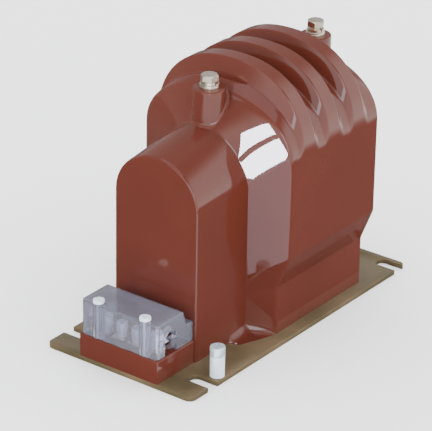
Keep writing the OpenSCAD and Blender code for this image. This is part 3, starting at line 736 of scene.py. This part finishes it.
def add_rod(bm, centre, radius, length, axis="Z", segments=48):
    """A round bar along Z, or along X."""
    turns = {"X": Matrix.Rotation(math.pi / 2, 4, "Y"), "Z": Matrix()}
    place = Matrix.Translation(Vector(centre) * MM) @ turns[axis]
    bmesh.ops.create_cone(bm, cap_ends=True, segments=segments,
                          radius1=radius * MM, radius2=radius * MM,
                          depth=length * MM, matrix=place)


def soften(piece, width, segments=2, angle=35):
    """A small bevel on every edge that is sharper than an angle."""
    step = piece.modifiers.new("soften", "BEVEL")
    step.width, step.segments = width * MM, segments
    step.limit_method, step.angle_limit = "ANGLE", math.radians(angle)
    apply_modifiers(piece)
    piece.data.shade_smooth()
    piece.data.set_sharp_from_angle(angle=math.radians(50))


slots = bmesh.new()
for side in (-1, 1):
    for y in SLOT_YS:
        ends = sorted((side * SLOT_END, side * PAST_EDGE))
        add_rod(slots, (side * SLOT_END, y, PLATE_TOP / 2), SLOT_HALF,
                3 * PLATE_TOP)
        add_box(slots, (ends[0], y - SLOT_HALF, -PLATE_TOP),
                (ends[1], y + SLOT_HALF, 2 * PLATE_TOP))
combine(base, new_object("slots", slots), "DIFFERENCE", True)
soften(base, 0.35)
dress(base, zinc, "base_zinc", "base_plate")

# %% [markdown]
# ## High-voltage terminals
# Each post has a hexagon bolt with a spring washer on two flat washers. The
# head of a hexagon bolt is a six-sided prism whose corners are turned off
# by a cone, so the rings of its top drop where the corners stand out. The
# shank is turned: an outline with a groove for each turn of the thread is
# spun round its axis.

# %% A hexagon head
HEAD_FLATS, HEAD_HEIGHT, HEAD_CROWN = 13.0, 5.3, 0.94


def hex_radius(angle):
    """Distance from the middle of the hexagon to its side at an angle."""
    part = (angle % (math.pi / 3)) - math.pi / 6
    return HEAD_FLATS / 2 / math.cos(part)


def add_hex_head(bm, y, low, turn):
    """Rings whose height drops at the corners, as the cone leaves them."""
    crown = HEAD_FLATS / 2 * HEAD_CROWN

    def level(reach, height_at):
        points = []
        for i in range(72):
            a = math.tau * i / 72
            r = min(hex_radius(a), reach)
            points.append((r * math.cos(a + turn),
                           y + r * math.sin(a + turn),
                           height_at(hex_radius(a))))
        return points

    top = low + HEAD_HEIGHT
    ring = first_ring(bm, level(crown, lambda r: low))
    close_ring(bm, ring)
    ring = next_ring(bm, ring, level(WHOLE, lambda r: low + 0.25
                                     + (r - crown) * 0.3))
    ring = next_ring(bm, ring, level(WHOLE, lambda r: top - 0.12
                                     - (r - crown) * 0.5))
    ring = next_ring(bm, ring, level(crown, lambda r: top))
    close_ring(bm, ring)


print("corners at", round(hex_radius(0), 2), "mm")

# %% A threaded shank
SHANK_RADIUS, SHANK_LENGTH, PITCH, ROOT = 3.95, 24, 1.25, 0.6


def add_turned(bm, outline, centre, segments=48):
    """Spin an outline of (radius, height) round a vertical axis."""
    cx, cy = centre
    chain = [bm.verts.new(((cx + r) * MM, cy * MM, z * MM))
             for r, z in outline]
    edges = [bm.edges.new(pair) for pair in zip(chain, chain[1:])]
    bmesh.ops.spin(bm, geom=chain + edges, cent=(cx * MM, cy * MM, 0),
                   axis=(0, 0, 1), angle=math.tau, steps=segments,
                   use_merge=True)


def add_shank(bm, y, low, high):
    """A turned shank with a groove at each turn of the thread."""
    chain = [(0.0, low), (SHANK_RADIUS - 0.8, low)]
    z = low + ROOT
    while z + PITCH < high:
        chain += [(SHANK_RADIUS - ROOT, z), (SHANK_RADIUS, z + PITCH * 0.4),
                  (SHANK_RADIUS, z + PITCH * 0.6)]
        z += PITCH
    chain += [(SHANK_RADIUS - 0.3, high), (0.0, high)]
    add_turned(bm, chain, (0, y), 32)


print("shank of", SHANK_LENGTH, "mm, thread of", PITCH, "mm")

# %% Bolts
GAP, FLAT_WASHER, SPRING_WASHER = 0.02, 1.6, 2.2
REAR_LIFT, FRONT_TURN = 1.7, 0.35
SEAT = POST_TOP + 2 * (FLAT_WASHER + GAP) + SPRING_WASHER + 2 * GAP
bolts = bmesh.new()
for y, lift, turn in ((POST_FRONT, 0, FRONT_TURN), (POST_REAR, REAR_LIFT, 0)):
    add_hex_head(bolts, y, SEAT + lift, turn)
    add_shank(bolts, y, SEAT + lift - SHANK_LENGTH, SEAT + lift + 0.5)
dress(new_object("terminal_bolts", bolts, 25), bright, "bright_plate",
      "primary_bolts")

# %% Flat washers
BORE, FLAT_RADIUS = 4.2, 8


def add_ring(bm, inner, outer, low, high, centre, edge=0.15, segments=48):
    """A washer with its rims broken."""
    add_turned(bm, [(inner, low), (outer - edge, low), (outer, low + edge),
                    (outer, high - edge), (outer - edge, high),
                    (inner + edge, high), (inner, high - edge),
                    (inner, low)], centre, segments)


flats = bmesh.new()
for y in (POST_FRONT, POST_REAR):
    for i in (0, 1):
        low = POST_TOP + GAP + i * (FLAT_WASHER + GAP)
        add_ring(flats, BORE, FLAT_RADIUS, low, low + FLAT_WASHER, (0, y),
                 0.25)
dress(new_object("flat_washers", flats), bright, "bright_plate",
      "primary_flat_washers")

# %% Spring washers
SPRING_RADIUS, SPRING_WALL, SPRING_RISE = 7.1, 2.0, 0.2
SPRING_ANGLE, SPRING_STEPS = 345, 60
springs = bmesh.new()
for y in (POST_FRONT, POST_REAR):
    low = POST_TOP + 2 * (FLAT_WASHER + GAP) + GAP
    high = low + SPRING_WALL
    corners = ((BORE, y, low), (SPRING_RADIUS, y, low),
               (SPRING_RADIUS, y, high), (BORE, y, high))
    start = springs.faces.new([springs.verts.new(Vector(p) * MM)
                               for p in corners])
    bmesh.ops.spin(springs, geom=[start], cent=(0, y * MM, 0),
                   axis=(0, 0, 1),
                   dvec=(0, 0, SPRING_RISE * MM / SPRING_STEPS),
                   angle=math.radians(SPRING_ANGLE), steps=SPRING_STEPS)
dress(new_object("spring_washers", springs), bright, "bright_plate",
      "primary_spring_washers")

# %% [markdown]
# ## Low-voltage terminals
# Four screws in a row hold the wires under square clamps. Each has three
# small washers below a tall cheese head with a cross slot. The heads are
# turned shapes, and the slots are cut with boxes.

# %% Clamps and washers
ROW_Y = -133.0
ROW_X = (-25.5, -8.5, 8.5, 25.5)
CLAMP_HALF, CLAMP_LOW, CLAMP_TOP = 6.8, LV_TOP + GAP, LV_TOP + 2 + GAP
SMALL_BORE, SMALL_RADIUS, SMALL_WASHER = 2.8, 4.5, 1.3
clamps = bmesh.new()
for x in ROW_X:
    verts = add_box(clamps, (x - CLAMP_HALF, ROW_Y - CLAMP_HALF, CLAMP_LOW),
                    (x + CLAMP_HALF, ROW_Y + CLAMP_HALF, CLAMP_TOP))
    rim = {e for v in verts for e in v.link_edges}
    bmesh.ops.bevel(clamps, geom=list(rim), offset=0.4 * MM, segments=2,
                    affect="EDGES", profile=0.5, material=-1)
dress(new_object("wire_clamps", clamps), bright, "bright_plate",
      "terminal_clamps")
small = bmesh.new()
for x in ROW_X:
    for i in range(3):
        low = CLAMP_TOP + GAP + i * (SMALL_WASHER + GAP)
        add_ring(small, SMALL_BORE, SMALL_RADIUS, low, low + SMALL_WASHER,
                 (x, ROW_Y), 0.25, 32)
dress(new_object("terminal_washers", small), satin, "bright_plate",
      "terminal_washers")


# %% Slotted heads
def add_cheese_head(bm, centre, low, radius, height, edge=0.7, shank=2.4,
                    depth=13):
    """A turned screw: a shank and a head with a rounded rim."""
    add_turned(bm, [(0, low - depth), (shank, low - depth), (shank, low),
                    (radius - 0.3, low), (radius, low + 0.3),
                    (radius, low + height - edge),
                    (radius - edge * 0.3, low + height - edge * 0.3),
                    (radius - edge, low + height), (0, low + height)],
               centre, 48)


def cut_slots(piece, places, top, reach, width, depth, cross=True):
    """Cut a slot, or a cross of two, into each head, at its own angle."""
    bm = bmesh.new()
    for x, y, angle in places:
        turn = (Matrix.Translation((x * MM, y * MM, 0))
                @ Matrix.Rotation(math.radians(angle), 4, "Z"))
        arms = [(reach, width)] + ([(width, reach)] if cross else [])
        for long, wide in arms:
            verts = add_box(bm, (-long, -wide, top - depth),
                            (long, wide, top + 2))
            bmesh.ops.transform(bm, matrix=turn, verts=verts)
    combine(piece, new_object("slot_cutter", bm), "DIFFERENCE", True)


print("helpers for slotted heads ready")

# %% Terminal screws
LV_HEAD_SEAT, LV_HEAD_RADIUS, LV_HEAD_HEIGHT = 30.0, 5.3, 7.8
TURN_PER_MM = 7
heads = bmesh.new()
for x in ROW_X:
    add_cheese_head(heads, (x, ROW_Y), LV_HEAD_SEAT, LV_HEAD_RADIUS,
                    LV_HEAD_HEIGHT)
terminal_heads = new_object("terminal_screws", heads)
cut_slots(terminal_heads, [(x, ROW_Y, x * TURN_PER_MM) for x in ROW_X],
          LV_HEAD_SEAT + LV_HEAD_HEIGHT, 4.4, 0.65, 2.4)
terminal_heads.data.set_sharp_from_angle(angle=math.radians(35))
dress(terminal_heads, satin, "bright_plate", "terminal_screws")

# %% [markdown]
# ## Clear cover
# The cover is moulded in clear plastic: a box that is open below, with a
# slope down to a low part at the rear, a screw pillar in each front corner
# and an arched cable entry with a collar in each side. Its side profile is
# extruded across, the inner form is cut out of the outer one, and the
# pillars and collars are joined on before the openings are cut.

# %% Box of the cover
COVER_X, COVER_FRONT, COVER_REAR, COVER_WALL = 38.8, -149.5, -103.7, 2.0
COVER_TOP, COVER_STEP, SLOPE_TOP, SLOPE_FOOT = 54.5, 41.5, -116, -112
COVER_CORNER, SLOPE_SHARE = 4, 0.6


def cover_form(name, inset, low):
    """The cover's outline, extruded across, with its corners rounded."""
    bm = bmesh.new()
    lean_in = inset * SLOPE_SHARE
    front, rear = COVER_FRONT + inset, COVER_REAR - inset
    top, step = COVER_TOP - inset, COVER_STEP - inset
    profile = [(front, low), (rear, low), (rear, step),
               (SLOPE_FOOT - lean_in, step), (SLOPE_TOP - lean_in, top),
               (front, top)]
    half = COVER_X - inset
    verts = [bm.verts.new(Vector((-half, y, z)) * MM) for y, z in profile]
    side = bm.faces.new(verts)
    made = bmesh.ops.extrude_face_region(bm, geom=[side])["geom"]
    bmesh.ops.translate(bm, vec=(2 * half * MM, 0, 0), verts=[
        v for v in made if isinstance(v, bmesh.types.BMVert)])
    bmesh.ops.recalc_face_normals(bm, faces=bm.faces)
    corners = [e for e in bm.edges
               if all(abs(v.co.y - front * MM) < 1e-6 for v in e.verts)
               and abs(e.verts[0].co.z - e.verts[1].co.z) > 0.005]
    bmesh.ops.bevel(bm, geom=corners, offset=(COVER_CORNER - inset) * MM,
                    segments=8, affect="EDGES", profile=0.5, material=-1)
    return new_object(name, bm)


print("cover", 2 * COVER_X, "mm across")

# %% Cable entries of the cover
ENTRY_Y, ENTRY_RADIUS, ENTRY_SPRING, COLLAR_WALL = -131.75, 7.75, 36.25, 1.5
COLLAR_ENDS, TUNNEL_ENDS = (33.3, 38.0), (32.0, 41.0)


def entry_form(name, x0, x1, radius, low):
    """An arched tunnel through the side wall on both sides."""
    bm = bmesh.new()
    for side in (-1, 1):
        ends = sorted((side * x0, side * x1))
        add_box(bm, (ends[0], ENTRY_Y - radius, low),
                (ends[1], ENTRY_Y + radius, ENTRY_SPRING))
        add_rod(bm, (sum(ends) / 2, ENTRY_Y, ENTRY_SPRING), radius,
                ends[1] - ends[0], "X", 48)
    return new_object(name, bm)


print("entries", 2 * ENTRY_RADIUS, "mm wide")

# %% Build the cover
COVER_LOW, BELOW = LV_TOP + GAP, 20
PILLAR_X, PILLAR_Y, PILLAR_MID, PILLAR_LENGTH = 23.5, -145.0, 38.7, 29.36
PILLAR_RADIUS, HOLE_RADIUS, SCREW_Y = 4.6, 2.3, -145.5
cover = cover_form("terminal_cover_shell", 0, COVER_LOW)
soften(cover, 0.8, 3, 50)
combine(cover, cover_form("inner", COVER_WALL, BELOW), "DIFFERENCE")
pillars = bmesh.new()
for x in (-PILLAR_X, PILLAR_X):
    add_rod(pillars, (x, PILLAR_Y, PILLAR_MID), PILLAR_RADIUS, PILLAR_LENGTH,
            "Z", 40)
combine(cover, new_object("pillars", pillars), "UNION")
combine(cover, entry_form("collar", *COLLAR_ENDS, ENTRY_RADIUS + COLLAR_WALL,
                          COVER_LOW), "UNION", True)
combine(cover, entry_form("tunnel", *TUNNEL_ENDS, ENTRY_RADIUS, BELOW),
        "DIFFERENCE", True)
holes = bmesh.new()
for x in (-PILLAR_X, PILLAR_X):
    add_rod(holes, (x, SCREW_Y, 40), HOLE_RADIUS, 60, "Z", 32)
combine(cover, new_object("holes", holes), "DIFFERENCE")
cover.data.shade_smooth()
cover.data.set_sharp_from_angle(angle=math.radians(30))
dress(cover, clear, "cover_clear", "terminal_cover")

# %% Cover screws
LID_HEAD_RADIUS, LID_HEAD_HEIGHT = 4.7, 3.0
heads = bmesh.new()
for x in (-PILLAR_X, PILLAR_X):
    add_cheese_head(heads, (x, SCREW_Y), COVER_TOP + GAP, LID_HEAD_RADIUS,
                    LID_HEAD_HEIGHT, 0.6, 1.95, 38)
lids = new_object("cover_screws", heads)
cut_slots(lids, [(-PILLAR_X, SCREW_Y, -24), (PILLAR_X, SCREW_Y, 24)],
          COVER_TOP + LID_HEAD_HEIGHT, 6, 0.6, 1.2, cross=False)
lids.data.set_sharp_from_angle(angle=math.radians(35))
dress(lids, satin, "bright_plate", "cover_screws")

# %% [markdown]
# ## Earth terminal
# A plated pillar is riveted to the base plate. A washer and a screw with a
# head of the same diameter close it, so it looks like one cylinder with a
# fine joint. All three are turned.

# %% Earth terminal
EARTH, EARTH_TOP, EARTH_RADIUS, RIVET_RADIUS = (67.2, -108.5), 22.5, 6.0, 4.1
EARTH_HEAD_RADIUS, EARTH_HEAD_LOW, EARTH_HEAD_HEIGHT = 6.2, 23.54, 7.0
EARTH_STEPS = 64
pillar = bmesh.new()
add_turned(pillar, [(0, 0.3), (RIVET_RADIUS, 0.3),
                    (RIVET_RADIUS, PLATE_TOP + GAP),
                    (EARTH_RADIUS - 0.2, PLATE_TOP + GAP),
                    (EARTH_RADIUS, PLATE_TOP + 0.3),
                    (EARTH_RADIUS, EARTH_TOP - 0.4),
                    (EARTH_RADIUS - 0.3, EARTH_TOP), (0, EARTH_TOP)],
           EARTH, EARTH_STEPS)
dress(new_object("earth_pillar", pillar), satin, "bright_plate",
      "earth_post")
washer = bmesh.new()
add_ring(washer, 3.3, EARTH_HEAD_RADIUS, EARTH_TOP + GAP,
         EARTH_HEAD_LOW - GAP, EARTH, 0.2, EARTH_STEPS)
dress(new_object("earth_washer", washer), nickel, "bright_plate",
      "earth_washer")
heads = bmesh.new()
add_cheese_head(heads, EARTH, EARTH_HEAD_LOW, EARTH_HEAD_RADIUS,
                EARTH_HEAD_HEIGHT, 0.7, 2.95, 10)
earth_head = new_object("earth_screw", heads)
cut_slots(earth_head, [(*EARTH, 25)], EARTH_HEAD_LOW + EARTH_HEAD_HEIGHT,
          5.2, 0.7, 2.2)
earth_head.data.set_sharp_from_angle(angle=math.radians(35))
dress(earth_head, nickel, "bright_plate", "earth_screw")

# %% [markdown]
# ## Floor and light
# The object stands on a pale, plain floor in soft light. A glossy casting
# shows its surroundings, so most of this set is there to be mirrored: a
# bright band stands round the horizon on the right, the ceiling is dimmer,
# and a card, a light for the rims of the sheds and a window with a bar give
# the clear shapes in the gloss. The floor is pale to the eye. A mirror ray
# finds it dark close to the object and bright further off on the right, as
# it would find a table in a room, so the faces of the casting keep their
# full colour.

# %% Brightness of the set
FLOOR_PALE, FLOOR_DIM = (0.89, 0.90, 0.89), (0.08, 0.08, 0.08)
CEILING, PANE, CARD, FAR_FLOOR, RIM = 1.0, 80.0, 2.5, 2.0, 4.5
BAND, OVERHEAD, DARK_SIDE, SKY_LOW, SKY_TOP = 2.1, 0.4, 0.5, 5.1, 1.8
COOL = (0.92, 0.95, 1.08)
print("ceiling", CEILING, "window", PANE, "horizon", BAND)

# %% Floor
FLOOR_HALF = 12
floor_mesh = bmesh.new()
bmesh.ops.create_grid(floor_mesh, x_segments=2, y_segments=2, size=FLOOR_HALF)
floor = new_object("floor", floor_mesh)
pale = bpy.data.materials.new("pale_floor")
pale.use_nodes = True
tree = pale.node_tree
pale_shader = tree.nodes["Principled BSDF"]
dim_shader = add_node(tree, "ShaderNodeBsdfPrincipled")
for shader, shade in ((pale_shader, FLOOR_PALE), (dim_shader, FLOOR_DIM)):
    shader.inputs["Base Color"].default_value = (*shade, 1)
    shader.inputs["Roughness"].default_value = 0.9
    shader.inputs["Specular IOR Level"].default_value = 0.0
floor.data.materials.append(pale)
floor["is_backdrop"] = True
print("floor", 2 * FLOOR_HALF, "m across")

# %% The floor that a mirror ray finds
GLOW_FROM, GLOW_FULL, GLOW_WEST, GLOW_EAST = 0.48, 0.72, -0.3, 0.1
floor_place = add_node(tree, "ShaderNodeTexCoord").outputs["Object"]
distance = add_node(tree, "ShaderNodeVectorMath", operation="LENGTH")
tree.links.new(floor_place, distance.inputs[0])
floor_parts = add_node(tree, "ShaderNodeSeparateXYZ")
tree.links.new(floor_place, floor_parts.inputs["Vector"])
glow = maths(tree, "MULTIPLY",
             step_between(tree, distance.outputs["Value"], GLOW_FROM,
                          GLOW_FULL, 0, FAR_FLOOR),
             step_between(tree, floor_parts.outputs["X"], GLOW_WEST,
                          GLOW_EAST, 0, 1))
dim_shader.inputs["Emission Color"].default_value = (1, 1, 1, 1)
tree.links.new(glow, dim_shader.inputs["Emission Strength"])
either = add_node(tree, "ShaderNodeMixShader")
ray = add_node(tree, "ShaderNodeLightPath")
tree.links.new(ray.outputs["Is Glossy Ray"], either.inputs["Fac"])
tree.links.new(pale_shader.outputs["BSDF"], either.inputs[1])
tree.links.new(dim_shader.outputs["BSDF"], either.inputs[2])
tree.links.new(either.outputs["Shader"],
               tree.nodes["Material Output"].inputs["Surface"])
print("glow from", GLOW_FROM, "to", GLOW_FULL, "m")


# %% Lamps
def soft_box(name, place, facing, size, radiance, mirrored=False):
    """A flat lamp. One that is only mirrored gives no light of its own."""
    lamp = bpy.data.lights.new(name, "AREA")
    lamp.shape = "RECTANGLE"
    lamp.size, lamp.size_y = (v * MM for v in size)
    lamp.color = COOL
    lamp.energy = radiance * math.pi * lamp.size * lamp.size_y
    holder = bpy.data.objects.new(name, lamp)
    bpy.context.scene.collection.objects.link(holder)
    aim = Vector(facing).to_track_quat("-Z", "Y").to_matrix().to_4x4()
    holder.matrix_world = Matrix.Translation(Vector(place) * MM) @ aim
    holder.visible_diffuse = not mirrored
    return holder


soft_box("ceiling", (0, 0, 3200), (0, 0, -1), (3000, 3000), CEILING)
print("ceiling set")


# %% Window with a bar, seen in the gloss of the flare
WINDOW_BEARING, WINDOW_TILT, WINDOW_TURN = -1.986, 0.205, -0.765
WINDOW_PLACE, WINDOW_HEIGHT, WINDOW_RISE = (166.4, -118.2, 82.3), 49.7, -30.9


def window_pane(name, left, right_end):
    """A pane in the window's own plane, between two places across it."""
    out = Vector((math.cos(WINDOW_BEARING) * math.cos(WINDOW_TILT),
                  math.sin(WINDOW_BEARING) * math.cos(WINDOW_TILT),
                  math.sin(WINDOW_TILT)))
    across = Vector((-math.sin(WINDOW_BEARING), math.cos(WINDOW_BEARING), 0))
    rising = out.cross(across)
    wide = across * math.cos(WINDOW_TURN) + rising * math.sin(WINDOW_TURN)
    tall = rising * math.cos(WINDOW_TURN) - across * math.sin(WINDOW_TURN)
    centre = (Vector(WINDOW_PLACE) + wide * (left + right_end) / 2
              + tall * WINDOW_RISE)
    pane = soft_box(name, centre, -out, (right_end - left, WINDOW_HEIGHT),
                    PANE, mirrored=True)
    pane.matrix_world = Matrix.Translation(centre * MM) @ Matrix(
        (wide, tall, out)).transposed().to_4x4()


window_pane("pane_wide", -157.0, -123.8)
window_pane("pane_narrow", -180.2, -164.0)
soft_box("card_front", (204, -345, 8), (0, 0, 1), (294, 428), CARD,
         mirrored=True)
soft_box("rim_light", (1370, -1850, 900), (-1370, 1850, -800), (420, 1500),
         RIM, mirrored=True)
print("panes and cards set")

# %% Surroundings
# The bright side lies at this direction across, with a soft border.
BRIGHT_X, BRIGHT_Y, BORDER_FROM, BORDER_TO = 0.97, -0.24, -0.25, 0.05
BAND_TOP, OVERHEAD_FROM, SKY_FROM, SKY_TO = 0.5, 0.8, 0.2, 1.0
world = bpy.data.worlds.new("studio")
world.use_nodes = True
tree = world.node_tree
around = add_node(tree, "ShaderNodeTexCoord").outputs["Generated"]
parts = add_node(tree, "ShaderNodeSeparateXYZ")
tree.links.new(around, parts.inputs["Vector"])

bright_side = maths(tree, "ADD",
                    maths(tree, "MULTIPLY", parts.outputs["X"], BRIGHT_X),
                    maths(tree, "MULTIPLY", parts.outputs["Y"], BRIGHT_Y))
band = maths(tree, "MULTIPLY",
             step_between(tree, bright_side, BORDER_FROM, BORDER_TO, 0, 1),
             step_between(tree, parts.outputs["Z"], BAND_TOP, OVERHEAD_FROM,
                          BAND, OVERHEAD))
dark_room = maths(tree, "MULTIPLY",
                  step_between(tree, bright_side, BORDER_FROM, BORDER_TO, 1,
                               0), DARK_SIDE)
mirrored_room = maths(tree, "ADD", band, dark_room)
glossy = add_node(tree, "ShaderNodeLightPath").outputs["Is Glossy Ray"]
sky = step_between(tree, parts.outputs["Z"], SKY_FROM, SKY_TO, SKY_LOW,
                   SKY_TOP)
strength = maths(tree, "ADD", maths(tree, "MULTIPLY", glossy, mirrored_room),
                 maths(tree, "MULTIPLY", maths(tree, "SUBTRACT", 1.0, glossy),
                       sky))
background = tree.nodes["Background"]
background.inputs["Color"].default_value = (1.0, 1.0, 1.0, 1)
tree.links.new(strength, background.inputs["Strength"])
bpy.context.scene.world = world
print("world", world.name)

# %% Sizes and the end
low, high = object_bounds()
print("visual box", [round(v * 1000, 1) for v in (*low, *high)])
